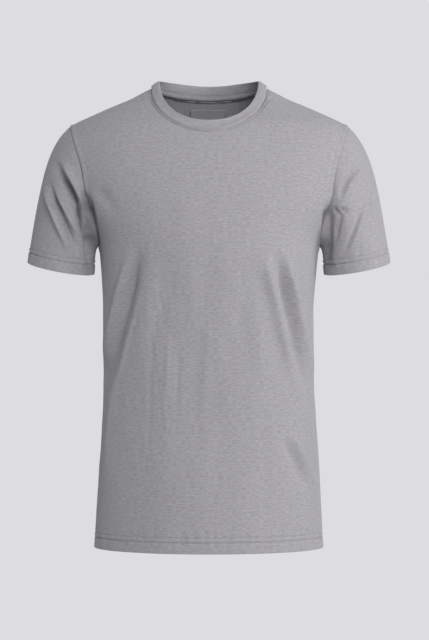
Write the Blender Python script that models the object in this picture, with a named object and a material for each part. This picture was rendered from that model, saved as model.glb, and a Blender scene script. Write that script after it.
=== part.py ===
# A plain crew neck t-shirt in thin jersey, filled out as if it were worn, with nobody in it.
# Metres, +Z up. The origin is in the middle of the neck opening, level with the shoulder
# seams' high points. The front faces -Y, so the wearer's left side is at +X.
import math
from collections import namedtuple

import bmesh
import bpy
from mathutils import Vector
from mathutils.bvhtree import BVHTree

MM = 0.001
FRONT, BACK = -1, 1
RIGHT, LEFT = -1, 1

# ---- Driving dimensions, in millimetres ------------------------------------------------
BODY_LENGTH = 711          # shoulder high point to hem
NECK_HALF_WIDTH = 90       # middle of the neck to the shoulder high point
SHOULDER_HALF_WIDTH = 215.5
SHOULDER_DROP = 60.5       # high point down to the shoulder tip
FRONT_NECK_DROP = 71
BACK_NECK_DROP = 10
ARMPIT_DROP = 245
ARMHOLE_DEPTH = {FRONT: 65, BACK: 68}
BACK_BLADE_WIDTH = 8       # the back's armhole runs this much further out at its middle

JERSEY_WALL = 1.2
RIB_WALL = 2.0
SEAM_GAP = 0.3
SHARPEST_MITRE = 1.6       # at a fold the wall reaches at most this many times its thickness
SAME_POINT = 0.01          # points this close are sewn together
SHARP_ANGLE = 50           # degrees, above which an edge is shaded sharp

RIB_TOP_HALF_WIDTH = 76.7
RIB_TOP_SIDE_HEIGHT = 11
RIB_TOP_DROP = {FRONT: 66.5, BACK: 3}
RIB_TOP_DEPTH = {FRONT: 76, BACK: 80}
RIB_TOP_SQUARENESS = 2.2
RIB_TOP_BACK_RISE = 4.6    # the top edge rises behind the ears and dips at the nape
RIB_HOLLOW = 1.5           # the band's middle lies this far inside a straight line
RIB_OUTWARD_RISE = 30      # outward on the band is away from a point this far under the seam

SLEEVE_HEM_OUTER = Vector((281, 0, -270))
SLEEVE_HEM_INNER = Vector((178.5, 0, -289))
SLEEVE_HEM_HALF_DEPTH = 60
SLEEVE_HEM_DROOP = {FRONT: 7, BACK: -4}    # the hem hangs lower in front than behind
# The ways the cloth sets off from the armhole seam, and the way it reaches the hem.
SLEEVE_OVER_TOP = Vector((0.76, 0, -0.65))
SLEEVE_UNDER_ARM = Vector((0.93, 0, -0.37))
SLEEVE_BESIDE = Vector((0.26, 0.22, -0.94))
SLEEVE_HEM_WAY = Vector((0.17, 0, -1)).normalized()
SLEEVE_LEAVE = 0.25        # how far each way holds, as a share of the strip's length
SLEEVE_ARRIVE = 0.46

TAPE_ABOVE = 3.4           # how far the tape reaches up the band and down the back
TAPE_BELOW = 4.0
TAPE_BEND = 1.2            # its bend is aimed at the band's lower edge from this far below
TAPE_REACH = 0.8           # how far round the back neck the tape runs, as a share
TRIM_WALL = 0.9
TRIM_GAP = 0.45            # clear of the panel's facets, which cross under the trim's own
TRIM_AIM = 3               # what lies inside the cloth is aimed outwards from this far in
LABEL_WIDTH = 60
LABEL_HEIGHT = 40
LABEL_DROP = 25            # origin down to the label's top edge

# ---- Horizontal sections of the body, from the shoulder high points down ---------------
# Each is a rounded oblong. squareness 2 is an ellipse, and higher values are boxier.
Depth = namedtuple("Depth", "drop front back squareness")
DEPTHS = [
    Depth(0, 18, 75, 2.0),
    Depth(10, 25, 82, 2.0),
    Depth(20, 34, 89, 2.0),
    Depth(40, 56, 101, 2.0),
    Depth(60.5, 78, 109, 2.0),
    Depth(100, 98, 116, 2.1),
    Depth(140, 112, 120, 2.3),
    Depth(180, 121, 122, 2.4),
    Depth(245, 127, 121, 2.4),
    Depth(344, 120, 111, 2.4),
    Depth(420, 114, 106, 2.4),
    Depth(530, 110, 110, 2.3),
    Depth(600, 113, 113, 2.15),
    Depth(711, 118, 117, 2.0),
]

# The seams seen from the front: how far out each lies at each drop.
SeamStep = namedtuple("SeamStep", "drop out")
SHOULDER_SEAM = [
    SeamStep(0, NECK_HALF_WIDTH),
    SeamStep(10, 108.3),
    SeamStep(16.3, 120),
    SeamStep(28.7, 148),
    SeamStep(41, 176),
    SeamStep(53.5, 203.5),
    SeamStep(SHOULDER_DROP, SHOULDER_HALF_WIDTH),
]
SIDE_SEAM = [
    SeamStep(ARMPIT_DROP, 170),
    SeamStep(290, 165.9),
    SeamStep(344, 162.8),
    SeamStep(440, 162.8),
    SeamStep(530, 166.6),
    SeamStep(600, 170.9),
    SeamStep(BODY_LENGTH, 177),
]

FRONT_ARMHOLE = [
    SeamStep(SHOULDER_DROP, SHOULDER_HALF_WIDTH),
    SeamStep(92, 206),
    SeamStep(115, 198),
    SeamStep(135, 193),
    SeamStep(165, 188.5),
    SeamStep(191, 183),
    SeamStep(210, 176),
    SeamStep(232, 170.6),
    SeamStep(ARMPIT_DROP, 170),
]

# ---- The largest folds ------------------------------------------------------------------
# Each runs in a bowed line, seen from the front, and stands out (or dips in, below zero)
# by height. across is positive towards the wearer's left; bow moves the line's middle.
FOLD_FADE = 0.8            # below 1 a fold holds its height for longer before it fades
Fold = namedtuple("Fold", "face across_top drop_top across_foot drop_foot bow width height")
FOLDS = [
    Fold(FRONT, -101, 262, -150, 440, 3, 11, -7),
    Fold(FRONT, -118, 300, -162, 480, 3, 9, 5),
    Fold(FRONT, -88, 300, -120, 470, 4, 15, 4),
    Fold(FRONT, 112, 262, 163, 470, -5, 10, -6),
    Fold(FRONT, 94, 262, 140, 455, -4, 12, 5),
    Fold(FRONT, 135, 530, 165, 610, 0, 12, -4),
    Fold(BACK, -90, 250, -135, 460, 4, 13, -7),
    Fold(BACK, -118, 330, -150, 520, 2, 12, 5),
    Fold(BACK, 84, 260, 128, 430, -5, 14, -6),
    Fold(BACK, 20, 330, 60, 420, 6, 16, -4),
    Fold(FRONT, -236, 120, -186, 222, -4, 8, -6),
    Fold(FRONT, -252, 160, -214, 262, 5, 8, 5),
    Fold(FRONT, 238, 128, 206, 212, -8, 8, -4),
    Fold(BACK, -232, 128, -190, 226, -4, 9, -6),
    Fold(BACK, 236, 120, 192, 230, 5, 9, -6),
]

# ---- How finely each piece is cut into facets -------------------------------------------
SHOULDER_COLUMNS = 5
NECK_COLUMNS = 20
SIDE_ROWS = 14
ARMHOLE_ROWS = 10
SLEEVE_ROWS = 8
RIB_ROWS = 3
LABEL_COLUMNS = 6
LABEL_ROWS = 4
ROW_SAMPLES = 240

# ---- Each piece's wall and colour -------------------------------------------------------
Piece = namedtuple("Piece", "wall colour roughness")
GREY = (0.352, 0.342, 0.356, 1.0)
PIECES = {
    "front": Piece(JERSEY_WALL, GREY, 0.9),
    "back": Piece(JERSEY_WALL, GREY, 0.9),
    "sleeve_left": Piece(JERSEY_WALL, GREY, 0.9),
    "sleeve_right": Piece(JERSEY_WALL, GREY, 0.9),
    "neck_rib": Piece(RIB_WALL, GREY, 0.92),
    "neck_tape": Piece(TRIM_WALL, GREY, 0.9),
    "label": Piece(TRIM_WALL, (0.30, 0.29, 0.31, 1.0), 0.7),
}
PANELS = ["front", "back", "sleeve_left", "sleeve_right", "neck_rib"]

# ---- Points inside the shirt that each panel faces away from ----------------------------
CHEST = Vector((0, 0, -300)) * MM
NECK = Vector((0, 0, -20)) * MM
UPPER_ARM = {hand: Vector((hand * 215, 0, -220)) * MM for hand in (RIGHT, LEFT)}


def smooth_through(rows, key, value):
    # A curve through a table's rows that never overshoots them.
    xs = [getattr(row, key) for row in rows]
    ys = [getattr(row, value) for row in rows]
    steps = [b - a for a, b in zip(xs, xs[1:])]
    rises = [(b - a) / step for a, b, step in zip(ys, ys[1:], steps)]
    slopes = [rises[0]]
    for before, after in zip(rises, rises[1:]):
        flat = before * after <= 0
        slopes.append(0 if flat else 2 * before * after / (before + after))
    slopes.append(rises[-1])

    def value_at(x):
        x = min(max(x, xs[0]), xs[-1])
        i = max(j for j in range(len(steps)) if xs[j] <= x)
        t = (x - xs[i]) / steps[i]
        start = (1 + 2 * t) * (1 - t) ** 2 * ys[i] + t * (1 - t) ** 2 * steps[i] * slopes[i]
        end = t * t * (3 - 2 * t) * ys[i + 1] - t * t * (1 - t) * steps[i] * slopes[i + 1]
        return start + end

    return value_at


squareness = smooth_through(DEPTHS, "drop", "squareness")
depth = {
    FRONT: smooth_through(DEPTHS, "drop", "front"),
    BACK: smooth_through(DEPTHS, "drop", "back"),
}
shoulder_out = smooth_through(SHOULDER_SEAM, "drop", "out")
shoulder_drop = smooth_through(SHOULDER_SEAM, "out", "drop")
side_out = smooth_through(SIDE_SEAM, "drop", "out")
armhole_out = smooth_through(FRONT_ARMHOLE, "drop", "out")


def armhole_seam(face, turn):
    # The armhole is an oval seen from the side: turn runs from 0 at the shoulder tip to pi
    # at the armpit. Gives how far out, how deep and how far down the seam lies.
    middle = (ARMPIT_DROP + SHOULDER_DROP) / 2
    radius = (ARMPIT_DROP - SHOULDER_DROP) / 2
    drop = middle - radius * math.cos(turn)
    blade = BACK_BLADE_WIDTH * math.sin(turn) ** 2 if face == BACK else 0
    return armhole_out(drop) + blade, ARMHOLE_DEPTH[face] * math.sin(turn), drop


def half_width(face, drop):
    # Out to the shoulder seam, then whatever takes the section through the armhole seam,
    # and below the armpit out to the side seam.
    if drop <= SHOULDER_DROP:
        return shoulder_out(drop)
    if drop >= ARMPIT_DROP:
        return side_out(drop)
    middle = (ARMPIT_DROP + SHOULDER_DROP) / 2
    radius = (ARMPIT_DROP - SHOULDER_DROP) / 2
    out, deep, _ = armhole_seam(face, math.acos((middle - drop) / radius))
    n = squareness(drop)
    return out / (1 - (deep / depth[face](drop)) ** n) ** (1 / n)


def body_point(face, across, drop):
    # The point of the body's front or back this far across from its middle.
    n = squareness(drop)
    share = min(abs(across) / half_width(face, drop), 1)
    y = face * depth[face](drop) * (1 - share ** n) ** (1 / n)
    return Vector((across, y, -drop)) * MM


def neckline(face, turn):
    # turn runs from 0 at the wearer's right high point to pi at the left one.
    across = -NECK_HALF_WIDTH * math.cos(turn)
    if face == FRONT:
        return across, FRONT_NECK_DROP * math.sin(turn)
    return across, BACK_NECK_DROP * math.sin(turn) ** 2


def top_edge_drop(face, share):
    # How far down the shoulder seam or neckline lies; share is 0 in the middle, 1 at the tip.
    across = share * SHOULDER_HALF_WIDTH
    if across > NECK_HALF_WIDTH:
        return shoulder_drop(across)
    return neckline(face, math.acos(across / NECK_HALF_WIDTH))[1]


def row_point(face, row, share):
    # A point of one row of the panel, by its share of the way from the middle to the side.
    if row <= SIDE_ROWS:
        drop = BODY_LENGTH + (ARMPIT_DROP - BODY_LENGTH) * row / SIDE_ROWS
        return body_point(face, share * side_out(drop), drop)
    up = (row - SIDE_ROWS) / ARMHOLE_ROWS
    out, _, side_drop = armhole_seam(face, math.pi * (1 - up))
    top_drop = top_edge_drop(face, share)
    even = ARMPIT_DROP + (top_drop - ARMPIT_DROP) * up
    edge = side_drop + (top_drop - SHOULDER_DROP) * up
    return body_point(face, share * out, even + (edge - even) * share ** 4)


def top_row(face):
    # From the middle of the neckline to the high point, then down the shoulder seam.
    turns = [math.pi / 2 * (1 + 2 * i / NECK_COLUMNS) for i in range(NECK_COLUMNS // 2)]
    points = [body_point(face, *neckline(face, turn)) for turn in turns]
    for i in range(SHOULDER_COLUMNS + 1):
        drop = SHOULDER_DROP * i / SHOULDER_COLUMNS
        points.append(body_point(face, half_width(face, drop), drop))
    return points


def lengths_along(points):
    lengths = [0]
    for a, b in zip(points, points[1:]):
        lengths.append(lengths[-1] + (b - a).length)
    return lengths


def spread_along(points, shares):
    # Points at these shares of a line's length.
    lengths = lengths_along(points)
    spread = []
    i = 0
    for share in shares:
        want = share * lengths[-1]
        while i < len(points) - 2 and lengths[i + 1] < want:
            i += 1
        t = (want - lengths[i]) / (lengths[i + 1] - lengths[i])
        spread.append(points[i].lerp(points[i + 1], min(t, 1)))
    return spread


def body_panel(face):
    # Rows of points from the hem to the neckline and shoulder seams, evenly spread at the
    # hem and gathered towards the neckline's own points at the top.
    top = top_row(face)
    top_lengths = lengths_along(top)
    steps = len(top) - 1
    grid = []
    for row in range(SIDE_ROWS + ARMHOLE_ROWS):
        up = max(row - SIDE_ROWS, 0) / ARMHOLE_ROWS
        gather = up * up * (3 - 2 * up)
        shares = []
        for i, length in enumerate(top_lengths):
            shares.append((1 - gather) * i / steps + gather * length / top_lengths[-1])
        fine = [math.sin(math.pi / 2 * i / ROW_SAMPLES) for i in range(ROW_SAMPLES + 1)]
        grid.append(spread_along([row_point(face, row, share) for share in fine], shares))
    grid.append(top)
    flip = Vector((-1, 1, 1))
    return [[point * flip for point in reversed(line[1:])] + line for line in grid]


def sleeve_path_start(face, turn):
    # Over the shoulder and under the arm the cloth sets off outwards, beside them it hangs.
    way = SLEEVE_OVER_TOP * max(math.cos(turn), 0)
    way += SLEEVE_UNDER_ARM * max(-math.cos(turn), 0)
    way += SLEEVE_BESIDE * Vector((1, face, 1)) * math.sin(turn)
    return way.normalized()


def sleeve_hem_point(face, turn):
    middle = (SLEEVE_HEM_OUTER + SLEEVE_HEM_INNER) / 2
    half = (SLEEVE_HEM_OUTER - SLEEVE_HEM_INNER) / 2
    depth = Vector((0, face * SLEEVE_HEM_HALF_DEPTH * math.sin(turn), 0))
    droop = Vector((0, 0, -SLEEVE_HEM_DROOP[face] * math.sin(turn)))
    return middle + half * math.cos(turn) + depth + droop


def sleeve(hand):
    # Every strip of the sleeve runs in one curve from the armhole seam to the hem.
    turns = [(FRONT, math.pi * (1 - i / ARMHOLE_ROWS)) for i in range(ARMHOLE_ROWS)]
    turns += [(BACK, math.pi * i / ARMHOLE_ROWS) for i in range(ARMHOLE_ROWS)]
    turns.append(turns[0])
    grid = []
    for row in range(SLEEVE_ROWS + 1):
        t = row / SLEEVE_ROWS
        line = []
        for face, turn in turns:
            out, deep, drop = armhole_seam(face, turn)
            start = Vector((out, face * deep, -drop))
            end = sleeve_hem_point(face, turn)
            length = (end - start).length
            leave = start + sleeve_path_start(face, turn) * length * SLEEVE_LEAVE
            arrive = end - SLEEVE_HEM_WAY * length * SLEEVE_ARRIVE
            point = start * (1 - t) ** 3 + leave * 3 * t * (1 - t) ** 2
            point += arrive * 3 * t * t * (1 - t) + end * t ** 3
            line.append(Vector((point.x * hand, point.y, point.z)) * MM)
        grid.append(line)
    return grid


def rib_top_point(face, turn):
    power = 2 / RIB_TOP_SQUARENESS
    x = -RIB_TOP_HALF_WIDTH * math.copysign(abs(math.cos(turn)) ** power, math.cos(turn))
    y = face * RIB_TOP_DEPTH[face] * math.sin(turn)
    z = RIB_TOP_SIDE_HEIGHT - RIB_TOP_DROP[face] * math.sin(turn) ** power
    if face == BACK:
        z += RIB_TOP_BACK_RISE * math.sin(2 * turn) ** 2
    return Vector((x, y, z)) * MM


def neck_rib():
    # A band that stands from the neckline, a little hollow, all the way round.
    turns = [(FRONT, math.pi * i / NECK_COLUMNS) for i in range(NECK_COLUMNS)]
    turns += [(BACK, math.pi * (1 - i / NECK_COLUMNS)) for i in range(NECK_COLUMNS)]
    turns.append(turns[0])
    grid = []
    for row in range(RIB_ROWS + 1):
        t = row / RIB_ROWS
        line = []
        for face, turn in turns:
            seam = body_point(face, *neckline(face, turn))
            top = rib_top_point(face, turn)
            away = Vector((seam.x, seam.y, RIB_OUTWARD_RISE * MM)).normalized()
            hollow = away * RIB_HOLLOW * MM * 4 * t * (1 - t)
            line.append(seam.lerp(top, t) - hollow)
        grid.append(line)
    return grid


def add_grid(mesh, tag, piece, grid, outward):
    # Faces between a grid's points. outward is a point that they face away from.
    rows = [[mesh.verts.new(point) for point in line] for line in grid]
    faces = []
    for low, high in zip(rows, rows[1:]):
        for i in range(len(low) - 1):
            face = mesh.faces.new((low[i], low[i + 1], high[i + 1], high[i]))
            face[tag] = piece
            faces.append(face)
    middle = faces[len(faces) // 2]
    middle.normal_update()
    if middle.normal.dot(middle.calc_center_median() - outward) < 0:
        bmesh.ops.reverse_faces(mesh, faces=faces)


def fold_height(fold, point):
    # A soft ridge or trough: highest along the bowed line, fading towards both its ends.
    top = Vector((fold.across_top, -fold.drop_top)) * MM
    foot = Vector((fold.across_foot, -fold.drop_foot)) * MM
    along = foot - top
    at = Vector((point.x, point.z)) - top
    t = at.dot(along) / along.length_squared
    if not 0 < t < 1 or point.y * fold.face < 0:
        return 0
    fade = math.sin(math.pi * t) ** FOLD_FADE
    bow = fold.bow * MM * math.sin(math.pi * t)
    off = (at - along * t).dot(Vector((-along.y, along.x)).normalized()) - bow
    return fold.height * MM * fade * math.exp(-((off / (fold.width * MM)) ** 2))


def sew():
    # The five panels joined at their seams, so that neighbours share their edge points.
    mesh = bmesh.new()
    tag = mesh.faces.layers.int.new("piece")
    add_grid(mesh, tag, PANELS.index("front"), body_panel(FRONT), CHEST)
    add_grid(mesh, tag, PANELS.index("back"), body_panel(BACK), CHEST)
    add_grid(mesh, tag, PANELS.index("sleeve_left"), sleeve(LEFT), UPPER_ARM[LEFT])
    add_grid(mesh, tag, PANELS.index("sleeve_right"), sleeve(RIGHT), UPPER_ARM[RIGHT])
    add_grid(mesh, tag, PANELS.index("neck_rib"), neck_rib(), NECK)
    bmesh.ops.remove_doubles(mesh, verts=mesh.verts, dist=SAME_POINT * MM)
    mesh.normal_update()
    heights = [sum(fold_height(fold, vert.co) for fold in FOLDS) for vert in mesh.verts]
    for vert, height in zip(mesh.verts, heights):
        vert.co += vert.normal * height
    mesh.normal_update()
    return mesh, tag


def way_into(face, edge):
    # The way from an edge into a face, square to the edge.
    way = face.normal.cross(edge.verts[1].co - edge.verts[0].co).normalized()
    return way if way.dot(face.calc_center_median() - edge.verts[0].co) > 0 else -way


def seam_pull(faces, tag):
    # How each seam point of a piece draws back, so that the gap is the same at any fold.
    pulls = {}
    for face in faces:
        for edge in face.edges:
            for other in edge.link_faces:
                if other[tag] == face[tag]:
                    continue
                way = way_into(face, edge)
                apart = (way - way_into(other, edge)).length
                for vert in edge.verts:
                    pulls.setdefault(vert, []).append(way / apart)
    drawn = {}
    for vert, ways in pulls.items():
        mean = sum(ways, Vector()) / len(ways)
        size = sum(way.length for way in ways) / len(ways)
        drawn[vert] = mean * (size / mean.length) ** 2 * SEAM_GAP * MM
    return drawn


def panel_solid(sewn, tag, piece, wall):
    # One panel cut free of the sewn cloth and given its wall, inwards from its face.
    faces = [face for face in sewn.faces if face[tag] == piece]
    pull = seam_pull(faces, tag)
    solid = bmesh.new()
    outer, inner = {}, {}
    for face in faces:
        for vert in face.verts:
            if vert in outer:
                continue
            place = vert.co + pull.get(vert, Vector())
            reach = min(vert.calc_shell_factor(), SHARPEST_MITRE) * wall * MM
            outer[vert] = solid.verts.new(place)
            inner[vert] = solid.verts.new(place - vert.normal * reach)
    for face in faces:
        solid.faces.new([outer[vert] for vert in face.verts])
        solid.faces.new([inner[vert] for vert in reversed(face.verts)])
        for loop in face.loops:
            own = [other for other in loop.edge.link_faces if other[tag] == piece]
            if len(own) == 1:
                a, b = loop.vert, loop.link_loop_next.vert
                solid.faces.new((outer[b], outer[a], inner[a], inner[b]))
    solid.normal_update()
    return solid


def tree_of(*solids):
    places, faces = [], []
    for solid in solids:
        solid.verts.index_update()
        start = len(places)
        places += [vert.co.copy() for vert in solid.verts]
        faces += [[start + vert.index for vert in face.verts] for face in solid.faces]
    return BVHTree.FromPolygons(places, faces)


def inside_of(place):
    # This far in towards the middle of the shirt, level with the place.
    return place - Vector((place.x, place.y, 0)).normalized() * TRIM_AIM * MM


def patch_on(tree, aims, wall):
    # A thin patch inside the cloth. Each of its points is laid where its aim is nearest.
    solid = bmesh.new()
    layers = []
    for lift in (TRIM_GAP, TRIM_GAP + wall):
        rows = []
        for line in aims:
            row = []
            for aim in line:
                hit, _, _, _ = tree.find_nearest(aim)
                row.append(solid.verts.new(hit + (aim - hit).normalized() * lift * MM))
            rows.append(row)
        layers.append(rows)
    under, over = layers
    last_row, last_column = len(aims) - 1, len(aims[0]) - 1
    for r in range(last_row):
        for c in range(last_column):
            for rows in (under, over):
                solid.faces.new((rows[r][c], rows[r][c + 1], rows[r + 1][c + 1], rows[r + 1][c]))
    rim = [(0, c) for c in range(last_column)]
    rim += [(r, last_column) for r in range(last_row)]
    rim += [(last_row, c) for c in range(last_column, 0, -1)]
    rim += [(r, 0) for r in range(last_row, 0, -1)]
    for (r0, c0), (r1, c1) in zip(rim, rim[1:] + rim[:1]):
        solid.faces.new((under[r0][c0], under[r1][c1], over[r1][c1], over[r0][c0]))
    return solid


def tape_aims():
    # A strip over the back neck seam: up on the band, round its lower edge, down on the back.
    above, bend, below = [], [], []
    for i in range(NECK_COLUMNS + 1):
        turn = math.pi * (0.5 + TAPE_REACH * (i / NECK_COLUMNS - 0.5))
        across, drop = neckline(BACK, turn)
        seam = body_point(BACK, across, drop)
        up_band = (rib_top_point(BACK, turn) - seam).normalized()
        above.append(inside_of(seam + up_band * TAPE_ABOVE * MM))
        bend.append(inside_of(seam - Vector((0, 0, TAPE_BEND * MM))))
        below.append(inside_of(body_point(BACK, across, drop + TAPE_BELOW)))
    return [above, bend, below]


def label_aims():
    aims = []
    for row in range(LABEL_ROWS + 1):
        drop = LABEL_DROP + LABEL_HEIGHT * row / LABEL_ROWS
        acrosses = [LABEL_WIDTH * (i / LABEL_COLUMNS - 0.5) for i in range(LABEL_COLUMNS + 1)]
        aims.append([inside_of(body_point(BACK, across, drop)) for across in acrosses])
    return aims


def add_object(name, solid):
    bmesh.ops.recalc_face_normals(solid, faces=solid.faces)
    if solid.calc_volume(signed=True) < 0:
        bmesh.ops.reverse_faces(solid, faces=solid.faces)
    mesh = bpy.data.meshes.new(name)
    solid.to_mesh(mesh)
    mesh.shade_smooth()
    mesh.set_sharp_from_angle(angle=math.radians(SHARP_ANGLE))
    piece = PIECES[name]
    material = bpy.data.materials.new(name)
    material.use_nodes = True
    shader = material.node_tree.nodes["Principled BSDF"]
    shader.inputs["Base Color"].default_value = piece.colour
    shader.inputs["Roughness"].default_value = piece.roughness
    shader.inputs["Metallic"].default_value = 0
    mesh.materials.append(material)
    bpy.context.collection.objects.link(bpy.data.objects.new(name, mesh))


def build():
    for old in list(bpy.data.objects):
        bpy.data.objects.remove(old)
    sewn, tag = sew()
    solids = {}
    for piece, name in enumerate(PANELS):
        solids[name] = panel_solid(sewn, tag, piece, PIECES[name].wall)
    inside = tree_of(solids["back"], solids["neck_rib"])
    solids["neck_tape"] = patch_on(inside, tape_aims(), TRIM_WALL)
    solids["label"] = patch_on(inside, label_aims(), TRIM_WALL)
    for name, solid in solids.items():
        add_object(name, solid)


build()
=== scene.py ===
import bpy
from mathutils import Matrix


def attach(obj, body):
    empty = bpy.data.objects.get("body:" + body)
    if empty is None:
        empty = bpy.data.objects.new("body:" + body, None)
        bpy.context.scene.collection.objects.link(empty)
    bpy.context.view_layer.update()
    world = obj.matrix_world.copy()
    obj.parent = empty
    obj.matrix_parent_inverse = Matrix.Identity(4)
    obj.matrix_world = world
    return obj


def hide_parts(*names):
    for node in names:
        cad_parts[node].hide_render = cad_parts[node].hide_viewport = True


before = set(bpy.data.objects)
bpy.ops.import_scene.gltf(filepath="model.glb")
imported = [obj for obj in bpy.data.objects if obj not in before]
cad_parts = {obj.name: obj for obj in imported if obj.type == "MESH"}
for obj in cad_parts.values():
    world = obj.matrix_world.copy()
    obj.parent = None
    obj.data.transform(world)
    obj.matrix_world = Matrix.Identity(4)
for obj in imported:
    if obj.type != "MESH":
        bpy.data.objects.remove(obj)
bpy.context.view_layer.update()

import math
from bisect import bisect_right

import bmesh
import bpy
from mathutils import Matrix, Vector, noise
from mathutils.bvhtree import BVHTree
from mathutils.kdtree import KDTree

mm = 0.001
front, back = -1, 1  # the way each face looks along Y
rightHand, leftHand = -1, 1  # the wearer's, along X
print("frame loaded:", ", ".join(sorted(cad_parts)))

# The cut, in millimetres. A drop is measured down from the shoulder high points.
bodyCut = {
    "length": 711,
    "neckHalfWidth": 90,
    "shoulderHalfWidth": 215.5,
    "shoulderDrop": 60.5,
    "neckDrop": {front: 71, back: 10},
    "armpitDrop": 245,
    "armholeDepth": {front: 65, back: 68},
    "bladeWidth": 8,  # the back's armhole runs this much further out
    "cornerEase": 0.02,  # the high point's corner is eased over ten steps of this share
    "wall": 0.7,
    # drop, front depth, back depth, squareness of the section
    "sections": [
        (0, 18, 75, 2.0),
        (10, 25, 82, 2.0),
        (20, 34, 89, 2.0),
        (40, 56, 101, 2.0),
        (60.5, 78, 109, 2.0),
        (100, 98, 116, 2.1),
        (140, 112, 120, 2.3),
        (180, 121, 122, 2.4),
        (245, 127, 121, 2.4),
        (344, 120, 111, 2.4),
        (420, 114, 106, 2.4),
        (530, 110, 110, 2.3),
        (600, 113, 113, 2.15),
        (711, 118, 117, 2.0),
    ],
    # drop, how far out
    "shoulderSeam": [
        (0, 90), (10, 108.3), (16.3, 120), (28.7, 148), (41, 176), (53.5, 203.5), (60.5, 215.5),
    ],
    "sideSeam": [
        (245, 170), (290, 165.9), (344, 162.8), (440, 162.8), (530, 166.6), (600, 170.9), (711, 177),
    ],
    "armhole": [
        (60.5, 215.5), (92, 206), (115, 198), (135, 193), (165, 188.5),
        (191, 183), (210, 176), (232, 170.6), (245, 170),
    ],
}

sleeveCut = {
    "hemOuter": Vector((281, 0, -270)),
    "hemInner": Vector((178.5, 0, -289)),
    "hemHalfDepth": 60,
    "hemDroop": {front: 7, back: -4},
    "overTop": Vector((0.76, 0, -0.65)),  # the ways the cloth leaves the armhole seam
    "underArm": Vector((0.93, 0, -0.37)),
    "beside": Vector((0.26, 0.22, -0.94)),
    "hemWay": Vector((0.17, 0, -1)).normalized(),
    "leave": 0.25,  # how far each way holds, as shares of the strip's length
    "arrive": 0.46,
}

# How finely the cloth is meshed: counts of columns and rows, and steps in millimetres.
weaveGrid = {
    "neckColumns": 44,
    "shoulderColumns": 40,
    "edgeSteps": [0, 0.8, 1.7, 2.8, 4.2, 6.2, 8.8],  # in from a side or armhole seam
    "sideRows": 128,
    "armholeRows": 90,
    "topSteps": [0, 0.7, 1.4, 2.2, 3.0, 3.6, 4.2, 5.0, 6.2, 8.0],  # down from the shoulder seam
    "sleeveRows": 78,
    "hemStep": 1.22,
    "hemSteps": 22,
    "rowSamples": 240,
    "stripSamples": 48,
    "shortStrip": 120,  # a sleeve strip shorter than this has closer steps at its seam
    "sewnWithin": 0.01,  # points this near each other are sewn together
}

hems = {
    "lowerStitch": 16.6,  # two needle lines above the edge
    "upperStitch": 23.6,
    "turnUp": 25.3,
    "foldRadius": 0.8,
    "proud": 0.35,  # the doubled cloth stands out this much
    "groove": 2.0,
    "grooveWidth": 1.0,
    "pucker": 1.1,
    "puckerPitch": 9,
    "puckerHeight": 30,
    "puckerSeed": 3,
    "puckerTop": 44,
    "puckerEdge": 4,  # it is already there at the hem's edge
    "plyEdge": 1.2,  # how softly the doubled cloth ends
    "upperShare": 0.6,  # the upper line pulls in less
}

seams = {
    # depth and width of the groove, then height and reach of the allowance beside it
    "armhole": (1.0, 0.8, 1.3, 7),
    "armholeLeft": (0.3, 0.8, 1.3, 7),  # the wearer's left one lies flatter
    "side": (1.1, 1.5, 0.4, 7),
    "shoulder": (1.0, 1.5, 0.5, 7),
    "underarm": (1.0, 1.5, 0.3, 6),
    "neck": (2.4, 1.3, 0.5, 4.8),
    "step": (-0.6, 1.0),  # how the allowance starts at the seam
    "fade": 1.5,  # and how softly it ends
    "within": 12,  # no seam is felt beyond this
    "topstitchIn": 3.8,  # the needle line outside the neck seam
    "topstitchDepth": 2.3,
    "topstitchWidth": 0.9,
}


def smoothStep(low, high, x):
    t = min(max((x - low) / (high - low), 0), 1)
    return t * t * (3 - 2 * t)


def curveThrough(rows, key, value):
    # a smooth line through a table's rows that never overshoots them
    xs, ys = [row[key] for row in rows], [row[value] for row in rows]
    steps = [b - a for a, b in zip(xs, xs[1:])]
    rises = [(b - a) / step for a, b, step in zip(ys, ys[1:], steps)]
    slopes = [rises[0]]
    for before, after in zip(rises, rises[1:]):
        slopes.append(0 if before * after <= 0 else 2 * before * after / (before + after))
    slopes.append(rises[-1])

    def valueAt(x):
        x = min(max(x, xs[0]), xs[-1])
        i = min(bisect_right(xs, x) - 1, len(steps) - 1)
        t = (x - xs[i]) / steps[i]
        start = (1 + 2 * t) * (1 - t) ** 2 * ys[i] + t * (1 - t) ** 2 * steps[i] * slopes[i]
        return start + t * t * (3 - 2 * t) * ys[i + 1] - t * t * (1 - t) * steps[i] * slopes[i + 1]

    return valueAt


squareness = curveThrough(bodyCut["sections"], 0, 3)
bodyDepth = {face: curveThrough(bodyCut["sections"], 0, column) for face, column in ((front, 1), (back, 2))}
shoulderOut = curveThrough(bodyCut["shoulderSeam"], 0, 1)
shoulderDropAt = curveThrough(bodyCut["shoulderSeam"], 1, 0)
sideOut = curveThrough(bodyCut["sideSeam"], 0, 1)
armholeOut = curveThrough(bodyCut["armhole"], 0, 1)
armholeMiddle = (bodyCut["armpitDrop"] + bodyCut["shoulderDrop"]) / 2
armholeRadius = (bodyCut["armpitDrop"] - bodyCut["shoulderDrop"]) / 2


def armholeSeam(face, turn):
    # turn runs from 0 at the shoulder tip to pi at the armpit
    drop = armholeMiddle - armholeRadius * math.cos(turn)
    blade = bodyCut["bladeWidth"] * math.sin(turn) ** 2 if face == back else 0
    return armholeOut(drop) + blade, bodyCut["armholeDepth"][face] * math.sin(turn), drop


def halfWidth(face, drop):
    if drop <= bodyCut["shoulderDrop"]:
        return shoulderOut(drop)
    if drop >= bodyCut["armpitDrop"]:
        return sideOut(drop)
    out, deep, _ = armholeSeam(face, math.acos((armholeMiddle - drop) / armholeRadius))
    n = squareness(drop)
    return out / (1 - (deep / bodyDepth[face](drop)) ** n) ** (1 / n)


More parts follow.
